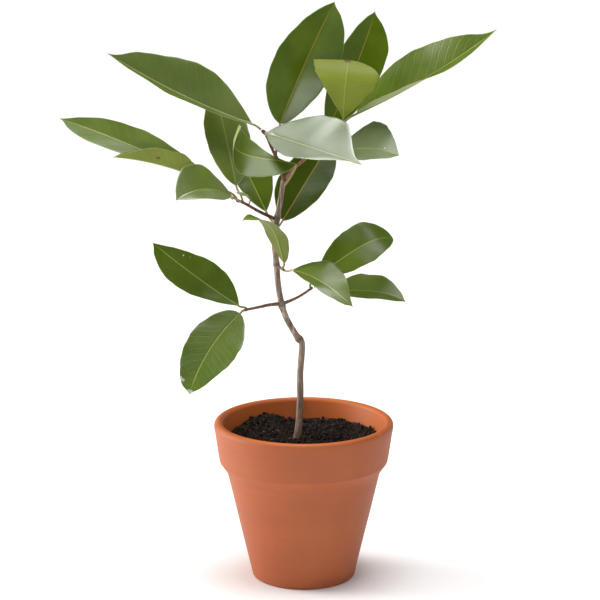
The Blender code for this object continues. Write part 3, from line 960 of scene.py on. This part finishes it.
@dataclass
class Leaf:
    """One leaf, in millimetres from the pot's foot and in degrees.

    The stalk leaves a twig at a share of the twig's length. Each pair holds the left half, then the
    right, seen from above with the tip pointing away.
    """

    node: str
    twig: str
    at: float
    base: Place
    tip: Place
    looks: Place
    width: tuple[float, float]
    widest: tuple[float, float] = (0.45, 0.45)
    base_power: tuple[float, float] = (0.6, 0.6)
    tip_power: tuple[float, float] = (0.85, 0.85)
    drip: float = 0.04
    arch: float = 0.0
    hook: float = 0.0
    sweep: float = 0.0
    twist: float = 0.0
    fold: tuple[float, float] = (12.0, 12.0)
    wave: float = 0.5
    waves: float = 2.5
    stalk_radius: float = 0.75
    stalk_reach: float = 0.4
    thickness: float = 0.30
    slot: str = "leaf_green"
    finish: LeafFinish = LeafFinish()

    BLADE_RINGS = 72
    STALK_RINGS = 14
    HALF_POINTS = 13
    RIB_TAPER = 0.72
    GROOVE = 0.22

    def half_width(self, side: int, u: np.ndarray) -> np.ndarray:
        """The blade's half width at shares of its length, on one side."""
        widest = self.widest[side]
        rising = np.sin(math.pi / 2 * np.clip(u / widest, 0, 1)) ** self.base_power[side]
        falling = np.sin(math.pi / 2 * np.clip((1 - u) / (1 - widest), 0, 1)) ** self.tip_power[side]
        share = np.where(u < widest, rising, falling)
        if self.drip > 0:
            tail = 0.22 * np.clip((1 - u) / (2 * self.drip), 0, 1)
            blend = ease((u - 1 + 2 * self.drip) / (2 * self.drip))
            share = share * (1 - blend) + tail * blend
        return share * self.width[side]

    def midrib(self, u: np.ndarray) -> tuple[np.ndarray, np.ndarray, np.ndarray]:
        """The middle line at shares of the blade's length.

        Args:
            u: the shares.

        Returns:
            The places, the way the upper side looks, and the way to the right.
        """
        base = np.array(self.base, float)
        chord = np.array(self.tip, float) - base
        along = unit(chord)
        looks = np.array(self.looks, float)
        up0 = unit(looks - looks.dot(along) * along)
        side0 = np.cross(along, up0)

        def place(share: np.ndarray) -> np.ndarray:
            """The middle line's places."""
            bow = 4 * share * (1 - share)
            rise = self.arch * bow + self.hook * 6.75 * share**2 * (1 - share)
            return base + share[:, None] * chord + rise[:, None] * up0 + self.sweep * bow[:, None] * side0

        heading = unit(place(u + 0.01) - place(u - 0.01))
        up = unit(up0 - (heading @ up0)[:, None] * heading)
        side = np.cross(heading, up)
        turn = (math.radians(self.twist) * (u - 0.5))[:, None]
        return place(u), up * np.cos(turn) + side * np.sin(turn), side * np.cos(turn) - up * np.sin(turn)

    def across_shares(self, width: np.ndarray) -> np.ndarray:
        """Where a half section has its points: close together by the rib and by the margin.

        Args:
            width: the half width at each ring.

        Returns:
            Shares of the half width, by ring and by point.
        """
        by_rib = np.array([0.0, 0.45, 0.9, 1.6])
        even = np.arange(self.HALF_POINTS) / (self.HALF_POINTS - 1)
        rest = np.array([0.13, 0.27, 0.42, 0.57, 0.71, 0.83, 0.92, 0.975, 1.0])
        near = np.minimum(by_rib[None, :] / width[:, None], even[None, :4])
        far = near[:, 3:4] + (1 - near[:, 3:4]) * rest[None, :]
        return np.hstack([near, far])

    def unevenness(self, half: int, u: np.ndarray, share: np.ndarray,
                   phases: Sequence[float]) -> np.ndarray:
        """The blade's waves and ripples.

        Args:
            half: 0 for the left half, 1 for the right.
            u: shares of the blade's length.
            share: shares of the half width, by ring and point.
            phases: this leaf's own phases.

        Returns:
            The lift in millimetres, by ring and point.
        """
        sign = 1.0 if half else -1.0
        u = u[:, None]
        waves = self.wave * np.sin(math.tau * (self.waves * u + 0.13 + 0.31 * (1 - half))) * share**2
        ripples = 0.20 * np.sin(17 * u + phases[4] + 2.5 * share * sign) * share
        small = 0.10 * np.sin(31 * u - 4.0 * share + phases[5]) * share
        return (waves + ripples + small) * np.sin(math.pi * u)

    def half_section(self, half: int, u: np.ndarray, phases: Sequence[float]) -> dict[str, np.ndarray]:
        """One half of the blade, from the rib to the margin.

        Args:
            half: 0 for the left half, 1 for the right.
            u: shares of the blade's length.
            phases: this leaf's own phases.

        Returns:
            The places above and below in millimetres, by ring and point, and the facts kept on them.
        """
        middle, up, side = self.midrib(u)
        sign = 1.0 if half else -1.0
        rib = self.stalk_radius * (1 - self.RIB_TAPER * u)
        ripple = 1 + 0.012 * np.sin(21 * u + phases[half]) + 0.008 * np.sin(47 * u + phases[half + 2])
        width = np.maximum(self.half_width(half, u) * ripple, rib * 0.95)
        share = self.across_shares(width)
        off = share * width[:, None]
        fold = math.radians(self.fold[half])
        lift = off * math.sin(fold) + self.unevenness(half, u, share, phases)
        surface = (middle[:, None] + side[:, None] * (sign * math.cos(fold) * off)[:, :, None]
                   + up[:, None] * lift[:, :, None])
        normal = (up * math.cos(fold) - side * (sign * math.sin(fold)))[:, None]
        rounded = np.sqrt(np.clip(1 - (off / rib[:, None]) ** 2, 0, 1)) * rib[:, None]
        blade = self.thickness * np.sqrt(np.clip(1 - share**14, 0, 1)) * (1 - 0.35 * u[:, None])
        groove = self.GROOVE * np.exp(-((off / 0.8) ** 2)) * (1 - u[:, None])
        thickest = np.maximum(blade, rounded)
        opened = ease(u[:, None] / 0.10)
        above = np.maximum(blade - groove, 0.0) * opened + thickest * (1 - opened)
        above = np.where((share >= 0.9999) & (u[:, None] > 0), 0.0, above)
        return {
            "above": surface + normal * above[:, :, None],
            "below": surface - normal * thickest[:, :, None],
            "along": u[:, None] * np.ones_like(share),
            "across": share * sign,
            "off_rib": off * MM,
            "off_margin": (width[:, None] - off) * MM,
        }

    def blade_rings(self, dice: random.Random) -> tuple[np.ndarray, dict[str, np.ndarray]]:
        """The closed sections along the blade.

        Args:
            dice: the seeded draw for this leaf's small unevenness.

        Returns:
            Places in millimetres by ring and turn, and the facts kept on the points.
        """
        spread = np.linspace(0.0, 1.0, self.BLADE_RINGS + 1)[1:]
        u = 0.55 * spread + 0.45 * (0.5 - 0.5 * np.cos(math.pi * spread))
        u = np.minimum(u, 0.9985)
        phases = [dice.uniform(0, math.tau) for _ in range(6)]
        left, right = (self.half_section(half, u, phases) for half in (0, 1))
        last = self.HALF_POINTS - 1
        order = [(left, "above", k) for k in range(last, 0, -1)]
        order += [(right, "above", k) for k in range(last + 1)]
        order += [(right, "below", k) for k in range(last - 1, -1, -1)]
        order += [(left, "below", k) for k in range(1, last)]
        rings = np.stack([half[face][:, k] for half, face, k in order], axis=1)
        facts = {}
        for key in ("along", "across", "off_rib", "off_margin"):
            facts[key] = np.stack([half[key][:, k] for half, _, k in order], axis=1)
        return rings, facts

    def stalk_rings(self, twig: Twig) -> np.ndarray:
        """The round sections of the stalk, from inside the twig's bark to the blade.

        Args:
            twig: the twig that carries the leaf.

        Returns:
            Places in millimetres by ring and turn.
        """
        centre = twig.point(self.at)
        heading = twig.direction(self.at)
        base = np.array(self.base, float)
        away = unit(base - centre)
        if self.at < 1.0:
            away = unit(away - 0.8 * away.dot(heading) * heading)
        else:
            away = unit(away + 2 * heading)
        middle, ups, _ = self.midrib(np.array([0.0, 0.02]))
        blade_way = unit(middle[1] - middle[0])
        reach = np.linalg.norm(base - centre) * self.stalk_reach
        handles = [centre, centre + away * reach, base - blade_way * reach, base]
        up = ups[0]
        last = self.HALF_POINTS - 1
        across = [math.sin(math.pi / 2 * k / last) for k in range(last + 1)]
        shares = [-a for a in across[:0:-1]] + across
        lower = across[-2::-1] + [-a for a in across[1:-1]]
        rings = []
        for t in np.linspace(1.0, 0.0, self.STALK_RINGS, endpoint=False):
            s = 1 - t
            place = (s**3 * handles[0] + 3 * s * s * t * handles[1] + 3 * s * t * t * handles[2]
                     + t**3 * handles[3])
            way = unit(s * s * (handles[1] - handles[0]) + 2 * s * t * (handles[2] - handles[1])
                       + t * t * (handles[3] - handles[2]))
            up = unit(up - up.dot(way) * way)
            side = np.cross(way, up)
            radius = self.stalk_radius * (1 + 0.45 * s**6)
            ring = [place + (side * v + up * math.sqrt(1 - v * v)) * radius for v in shares]
            ring += [place + (side * v - up * math.sqrt(1 - v * v)) * radius for v in lower]
            rings.insert(0, ring)
        return np.array(rings)

    def build(self, centre: Vector, twig: Twig) -> bpy.types.Object:
        """Grows the leaf as one closed skin, stalk and blade.

        Args:
            centre: the pot's foot, in metres.
            twig: the twig that carries the leaf.

        Returns:
            The finished object.
        """
        blade, facts = self.blade_rings(random.Random(self.node))
        stalk = self.stalk_rings(twig)
        rings = np.concatenate([stalk, blade]) * MM + np.array(centre)
        before = np.linspace(-1.0, -0.02, len(stalk))[:, None] * np.ones(stalk.shape[1])
        plain = np.zeros(stalk.shape[:2])
        on_stalk = {"along": before, "across": plain, "off_rib": plain, "off_margin": plain + 0.01}
        facts = {key: np.concatenate([on_stalk[key], values]) for key, values in facts.items()}
        piece = Workshop.wrap_sheet(self.node + "_blade", rings, facts, 2 * self.HALF_POINTS - 2)
        piece.data.materials.append(self.finish.material(self.node + "_skin"))
        box = np.array(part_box(self.node))
        own_box = np.stack([rings.min(axis=(0, 1)), rings.max(axis=(0, 1))])
        log.info("%s: its box is within %.1f mm of the frame's", self.node, np.abs(own_box - box).max() / MM)
        return Workshop.mount(piece, self.slot, self.node)


BROWN_RIB = (0.330, 0.230, 0.055)
PALE_RIB = (0.420, 0.440, 0.170)
SCAR = (0.420, 0.400, 0.330)
WHITE_SPECK = (0.850, 0.860, 0.800)
BROWN_SPOT = (0.120, 0.060, 0.025)


TWIGS = (
    Twig(
        "main_stem",
        ((-5.5, 0, 76), (-5.5, 0, 90), (-5.5, 0, 101), (-4, 0, 109), (-3, 0, 122), (-2.5, 1, 134),
         (-2.5, 2, 152), (-1.5, 3, 166), (-1.5, 3, 174), (-5, 2, 179), (-12, 0, 192), (-16, -2, 204),
         (-18.5, -2, 220), (-19.5, -1, 233), (-21, 1, 251), (-19, 2, 265), (-16.5, 1, 279),
         (-14, -1, 296)),
        (2.9, 2.7, 2.4, 2.3, 2.2, 2.1, 2.1, 2.0, 1.9), OLD_BARK, "bark",
        ((0.452, 0.75, 0.010), (0.583, 0.7, 0.012), (0.715, 0.35, 0.008), (0.865, 0.5, 0.012)),
        turns=24,
    ),
    Twig(
        "leader_shoot",
        ((-14, -1, 292), (-14.5, 0, 297), (-17, 3, 304), (-20, 6, 309.5), (-24, 8, 318), (-27, 8, 325),
         (-30, 8, 328)),
        (1.8, 1.6, 1.2, 1.1, 1.0, 1.1), RED_BARK, "young_bark", ((0.45, 0.3, 0.03), (0.95, 0.35, 0.05)),
    ),
    Twig(
        "back_shoot", ((-20, 6, 309), (-19, 11, 317), (-17, 15, 323), (-16, 17, 328)),
        (0.9, 0.8), YOUNG_BARK, "young_bark",
    ),
    Twig(
        "upper_right_shoot",
        ((-14.3, -0.6, 293), (-7.5, 3, 301), (0.5, 8, 307), (14.5, 14, 320), (27, 16, 331)),
        (1.4, 1.2, 1.0, 0.9), PINK_BARK, "young_bark", ((0.97, 0.3, 0.03),),
    ),
    Twig(
        "left_shoot",
        ((-19, 2, 264), (-23, 1, 266.5), (-31.5, -4, 271.5), (-42, -9, 278.5), (-48, -12, 281.5)),
        (1.3, 1.1, 0.95), RED_BARK, "young_bark", ((0.95, 0.3, 0.04),),
    ),
    Twig(
        "middle_shoot", ((-19.5, -1, 232), (-16, -5, 230.5), (-13.5, -8, 229.5)),
        (1.2, 0.9), YOUNG_BARK, "young_bark",
    ),
    Twig(
        "lower_left_shoot", ((-16, -2, 204), (-24.5, -8, 204.5), (-32, -15, 204.5), (-42, -24, 204.5)),
        (1.4, 1.1, 0.95), YOUNG_BARK, "young_bark", ((0.97, 0.3, 0.04),),
    ),
    Twig(
        "lower_right_shoot",
        ((-16, -2, 204), (-12, 1, 204.5), (-4, 6, 207), (3.5, 10, 211), (6.5, 12, 213)),
        (1.3, 1.0, 0.9), YOUNG_BARK, "young_bark", ((0.96, 0.3, 0.04),),
    ),
)

LEAVES = (
    Leaf(
        "crown_leaf_tall", "back_shoot", 1.0, (-17, 18, 331), (22, 43, 415), (3, -9, 1), (25, 22),
        (0.38, 0.62), tip_power=(0.88, 0.8), arch=5, sweep=-3, fold=(12, 19),
        finish=LeafFinish(
            Tone.DEEP, BROWN_RIB, gloss=0.2, roughness=0.30, wax=1.0, wax_left=0.0, vein_strength=0.4,
        ),
    ),
    Leaf(
        "crown_leaf_right", "upper_right_shoot", 0.88, (17, 36, 324), (52, 80, 404), (4, -9, 1),
        (20.5, 19.5), (0.46, 0.66), arch=3, sweep=1, fold=(18, 18),
        # painted shade darkens this blade a little
        finish=LeafFinish(Tone.DEEP, BROWN_RIB, gloss=0.1, painted_shade_factor=0.92),
    ),
    Leaf(
        "crown_leaf_folded", "upper_right_shoot", 0.96, (28, 8, 336), (32, 14, 377), (0.1, 1, -0.3),
        (23, 28), (0.76, 1.3), (1.1, 1.1), (0.35, 0.35), drip=0, arch=-6, hook=-5, fold=(5, 5),
        slot="leaf_underside_green",
        finish=LeafFinish(
            Tone.LIGHT, gloss=0.25, under=(0.225, 0.265, 0.020),
            marks=(Mark(0.985, 0.0, 0.03, 0.14, BROWN_SPOT, 0.2),),
        ),
    ),
    Leaf(
        "right_leaf_long", "upper_right_shoot", 1.0, (37, 10, 339), (133, -22, 403), (0, -4, 9),
        (28, 24), (0.31, 0.55), (0.65, 0.75), (1.05, 1.05), drip=0.09, arch=-4, twist=48, fold=(28, 28),
        finish=LeafFinish(rib=PALE_RIB, vein_strength=2.0, gloss=0.35),
    ),
    Leaf(
        "right_leaf_short", "upper_right_shoot", 0.74, (25, 3, 314), (66, -30, 316), (0, -6.5, 8),
        (27, 17), (0.34, 0.5), (0.45, 0.6), (0.95, 0.6), arch=2, hook=3, fold=(5, 12),
        # the blade's grey-green colour is a painted sheen
        finish=LeafFinish(
            Tone.BLOOM, gloss=0.5, roughness=0.42, wax=0.25, vein_strength=0.5,
            marks=(Mark(0.78, -0.15, 0.012, 0.035, WHITE_SPECK),),
        ),
    ),
    Leaf(
        "front_leaf_broad", "leader_shoot", 0.88, (-26, 2, 327), (40, -42, 312), (0, -6, 7), (30, 16),
        (0.55, 0.34), (0.7, 0.8), (1.8, 2.2), drip=0.06, fold=(8, 8),
        # the blade's grey-green colour is a painted sheen
        finish=LeafFinish(Tone.BLOOM, gloss=1.0, wax=0.8, roughness=0.30, vein_strength=0.2),
    ),
    Leaf(
        "front_leaf_cupped", "main_stem", 0.965, (-6, -12, 307), (-43, -34, 338), (6, -6, 5), (19, 17),
        (0.45, 0.72), (0.6, 2.2), arch=-7, hook=-17, fold=(6, 6), stalk_reach=0.12,
        finish=LeafFinish(roughness=0.42, vein_strength=0.5),
    ),
    Leaf(
        "left_leaf_upper", "leader_shoot", 1.0, (-36, 8, 332), (-139, 14, 382), (0, -4, 10), (17.5, 26),
        (0.45, 0.42), (0.8, 1.0), drip=0.08, arch=-4, fold=(24, 40),
        finish=LeafFinish(rib=PALE_RIB, gloss=0.8, roughness=0.40),
    ),
    Leaf(
        "left_leaf_long", "left_shoot", 1.0, (-64, 2, 290), (-177, 48, 330), (0, -3, 8), (13, 25),
        (0.72, 0.64), (1.7, 0.8), arch=3, fold=(-6, -4), finish=LeafFinish(rib=PALE_RIB, gloss=0.4),
    ),
    Leaf(
        "left_leaf_tilted", "left_shoot", 0.96, (-60, -15, 291), (-131, -52, 319), (0, 2, 7),
        (15.5, 17), (0.5, 0.5), (3.0, 3.2), (0.9, 0.9), arch=4, fold=(40, 40),
        slot="leaf_underside_green",
        finish=LeafFinish(
            Tone.LIGHT, under=(0.175, 0.205, 0.028), gloss=0.25,
            marks=(Mark(0.62, -0.4, 0.02, 0.08, BROWN_SPOT, 0.3),),
        ),
    ),
    Leaf(
        "left_leaf_drooping", "left_shoot", 0.9, (-50, -21, 285), (-88, -58, 290), (0, -5, 9), (16, 21),
        (0.5, 0.58), (1.3, 0.9), arch=6, hook=2, fold=(4, 28), finish=LeafFinish(gloss=0.8, wax=0.8),
    ),
    Leaf(
        "back_leaf_left", "left_shoot", 0.84, (-48, -1, 290), (-64, 36, 354), (2, -9, 1), (16, 17),
        (0.5, 0.5), arch=2, fold=(16, 16), finish=LeafFinish(gloss=1.0, wax=1.0),
    ),
    Leaf(
        "back_leaf_middle", "main_stem", 0.845, (-27, 9, 269), (-50, 40, 310), (1, -9, 3), (11, 16),
        (0.5, 0.5), (0.8, 0.8), arch=2, fold=(12, 12),
        # painted shade darkens this blade
        finish=LeafFinish(Tone.DEEP, gloss=0.3, painted_shade_factor=0.85),
    ),
    Leaf(
        "back_leaf_right", "main_stem", 0.83, (-15, 12, 262), (22, 58, 315), (0, -3, 1), (19, 16),
        (0.35, 0.5), arch=3, fold=(12, 14),
        # painted shade darkens this blade by about half
        finish=LeafFinish(Tone.DEEP, BROWN_RIB, gloss=0.2, painted_shade_factor=0.52),
    ),
    Leaf(
        "stem_leaf_narrow", "middle_shoot", 0.75, (-14, -11, 236), (-43, -38, 272), (6, 4, 7),
        (13, 15.5), (0.5, 0.5), tip_power=(0.7, 0.8), arch=7, hook=5, fold=(4, 4),
        slot="leaf_underside_green",
        finish=LeafFinish(Tone.LIGHT, under=(0.095, 0.112, 0.014), gloss=0.1),
    ),
    Leaf(
        "lower_leaf_front", "middle_shoot", 1.0, (-8, -14, 231), (34, -50, 213), (0, -6, 7), (17, 7.5),
        (0.46, 0.6), (0.75, 0.75), (1.1, 0.6), arch=7, fold=(8, 8), finish=LeafFinish(wax=0.3),
    ),
    Leaf(
        "lower_leaf_right_upper", "lower_right_shoot", 0.9, (13, 18, 223), (65, 40, 243), (0, -6, 7),
        (18, 17), (0.62, 0.52), (0.5, 0.6), (0.42, 0.7), drip=0, arch=2, hook=7, fold=(6, 6),
        finish=LeafFinish(Tone.DEEP, gloss=0.35),
    ),
    Leaf(
        "lower_leaf_right_lower", "lower_right_shoot", 1.0, (16, 4, 212), (72, -22, 210), (0, -3, 9),
        (15.5, 21), (0.5, 0.5), (0.6, 0.6), (0.85, 0.7), arch=2, hook=3, fold=(24, 16),
    ),
    Leaf(
        "lower_leaf_left_upper", "lower_left_shoot", 0.93, (-46, -26, 208), (-107, -14, 251),
        (0, -9, 8), (16, 16), (0.62, 0.38), (0.95, 0.75), (0.75, 1.0), arch=-3, fold=(8, 8),
        finish=LeafFinish(
            Tone.DEEP, gloss=0.4,
            marks=(
                Mark(0.70, 0.62, 0.014, 0.10, WHITE_SPECK, 1.0),
                Mark(0.64, 0.72, 0.008, 0.06, WHITE_SPECK, 1.0),
            ),
        ),
    ),
    Leaf(
        "lower_leaf_left_drooping", "lower_left_shoot", 1.0, (-45, -28, 203), (-80, -62, 153),
        (-3, -9, 4), (21.5, 18), (0.42, 0.46), (0.6, 0.5), (0.75, 0.6), arch=2, sweep=4, fold=(10, 10),
        finish=LeafFinish(
            Tone.DEEP, wax=0.3,
            marks=(Mark(0.88, 0.88, 0.02, 0.16, SCAR, 1.0), Mark(0.985, 0.0, 0.03, 0.9, SCAR, 0.6)),
        ),
    ),
    Leaf(
        "young_leaf", "left_shoot", 0.7, (-39, -7, 283), (-48, -7, 286), (0, -3, 9), (2.0, 2.5),
        (0.5, 0.5), fold=(10, 10), stalk_radius=0.5, slot="young_leaf_green",
        finish=LeafFinish(Tone.YOUNG, rib_width=0.2),
    ),
)


@dataclass
class Plant:
    """The stem and its shoots, then all the leaves, from the crown down."""

    centre: Vector
    twigs: tuple[Twig, ...] = TWIGS
    leaves: tuple[Leaf, ...] = LEAVES

    def build(self) -> None:
        """Grows every twig, then every leaf."""
        by_node = {twig.node: twig for twig in self.twigs}
        for twig in self.twigs:
            twig.build(self.centre)
        for leaf in self.leaves:
            leaf.build(self.centre, by_node[leaf.twig])


# --- the studio ---------------------------------------------------------------------------------


class Lamp(Enum):
    """The studio's soft boxes: colour, power in watts, size in metres, place and the spot it faces."""

    LEFT = ((1.0, 0.985, 0.965), 21.5, 0.8, (-1.30, 0.25, 0.55), (0.0, 0.0, 0.18))
    FRONT = ((1.0, 1.0, 1.0), 8.0, 0.40, (-0.04, -2.3, 0.70), (0.0, 0.0, 0.26))


@dataclass
class Studio:
    """A plain pale floor, soft lamps and the camera."""

    centre: Vector
    target: Place = (-0.0027, 0.0, 0.2062)
    distance: float = 1.7476
    elevation: float = 13.2
    lens: float = 146.3
    floor_size: float = 40.0
    floor_front: float = 6.0
    floor_colour: Colour = (0.95, 0.95, 0.95)
    overhead_power: float = 3.0
    overhead_spread: float = 40.0
    room: float = 0.14
    backdrop: float = 0.95

    def build_floor(self) -> None:
        """Lays the floor that the pot stands on; it reaches further back than to the front."""
        Workshop.clear_selection()
        away = self.floor_size / 2 - self.floor_front
        middle = (self.centre.x, self.centre.y + away, 0.0)
        bpy.ops.mesh.primitive_plane_add(size=self.floor_size, location=middle)
        floor = bpy.context.object
        floor.name = "studio_floor"
        g = Graph("studio_floor")
        floor.data.materials.append(g.feed(Base_Color=(*self.floor_colour, 1.0), Roughness=0.9,
                                           Specular_IOR_Level=0.1))

    def hang(self, name: str, kind: str, place: Vector, spot: Vector) -> bpy.types.Light:
        """Hangs a lamp.

        Args:
            name: the lamp's name.
            kind: the lamp's type.
            place: where it hangs.
            spot: where it points.

        Returns:
            The lamp's data.
        """
        lamp = bpy.data.lights.new(name, kind)
        holder = bpy.data.objects.new(name, lamp)
        bpy.context.scene.collection.objects.link(holder)
        holder.location = place
        holder.rotation_euler = (spot - place).to_track_quat("-Z", "Y").to_euler()
        return lamp

    def build_lamps(self) -> None:
        """One broad overhead light and the soft boxes."""
        above = self.centre + Vector((0.0, -0.05, 2.0))
        overhead = self.hang("overhead", "SUN", above, self.centre)
        overhead.energy = self.overhead_power
        overhead.angle = math.radians(self.overhead_spread)
        for box in Lamp:
            colour, power, size, place, spot = box.value
            lamp = self.hang("soft_box_" + box.name.lower(), "AREA", self.centre + Vector(place),
                             self.centre + Vector(spot))
            lamp.color = colour
            lamp.energy = power
            lamp.size = size

    def build_room(self) -> None:
        """A dim room with a pale backdrop round the sides and the back."""
        world = bpy.data.worlds.new("pale_room")
        g = Graph(world.name, world)
        way = g.node("ShaderNodeTexCoord", {}, {}, "Generated")
        back = g.node("ShaderNodeSeparateXYZ", {}, {"Vector": way}, "Y")
        up = g.node("ShaderNodeSeparateXYZ", {}, {"Vector": way}, "Z")
        lit = back.rise(-0.75, -0.15) * up.size().rise(0.30, 0.12)
        g.feed(Color=(1.0, 1.0, 1.0, 1.0), Strength=lit * (self.backdrop - self.room) + self.room)
        bpy.context.scene.world = world

    def build_camera(self) -> None:
        """The camera, a long lens from the front and a little above."""
        data = bpy.data.cameras.new("camera")
        data.lens = self.lens
        camera = bpy.data.objects.new("camera", data)
        bpy.context.scene.collection.objects.link(camera)
        tilt = math.radians(self.elevation)
        back = Vector((0.0, -math.cos(tilt), math.sin(tilt)))
        camera.location = self.centre + Vector(self.target) + back * self.distance
        camera.rotation_euler = (math.pi / 2 - tilt, 0.0, 0.0)
        bpy.context.scene.camera = camera

    def build(self) -> None:
        """Sets the studio up."""
        self.build_floor()
        self.build_lamps()
        self.build_room()
        self.build_camera()
        bpy.context.scene.view_settings.view_transform = "Standard"


def main() -> None:
    """Builds the plant, its pot and the studio, in order."""
    logging.basicConfig(level=logging.INFO, format="%(message)s", stream=sys.stdout)
    low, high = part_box("pot")
    centre = Vector(((low.x + high.x) / 2, (low.y + high.y) / 2, low.z))
    pot = Pot(centre)
    pot.build()
    Soil(pot).build()
    Plant(centre).build()
    Studio(centre).build()


if __name__ == "__main__":
    main()
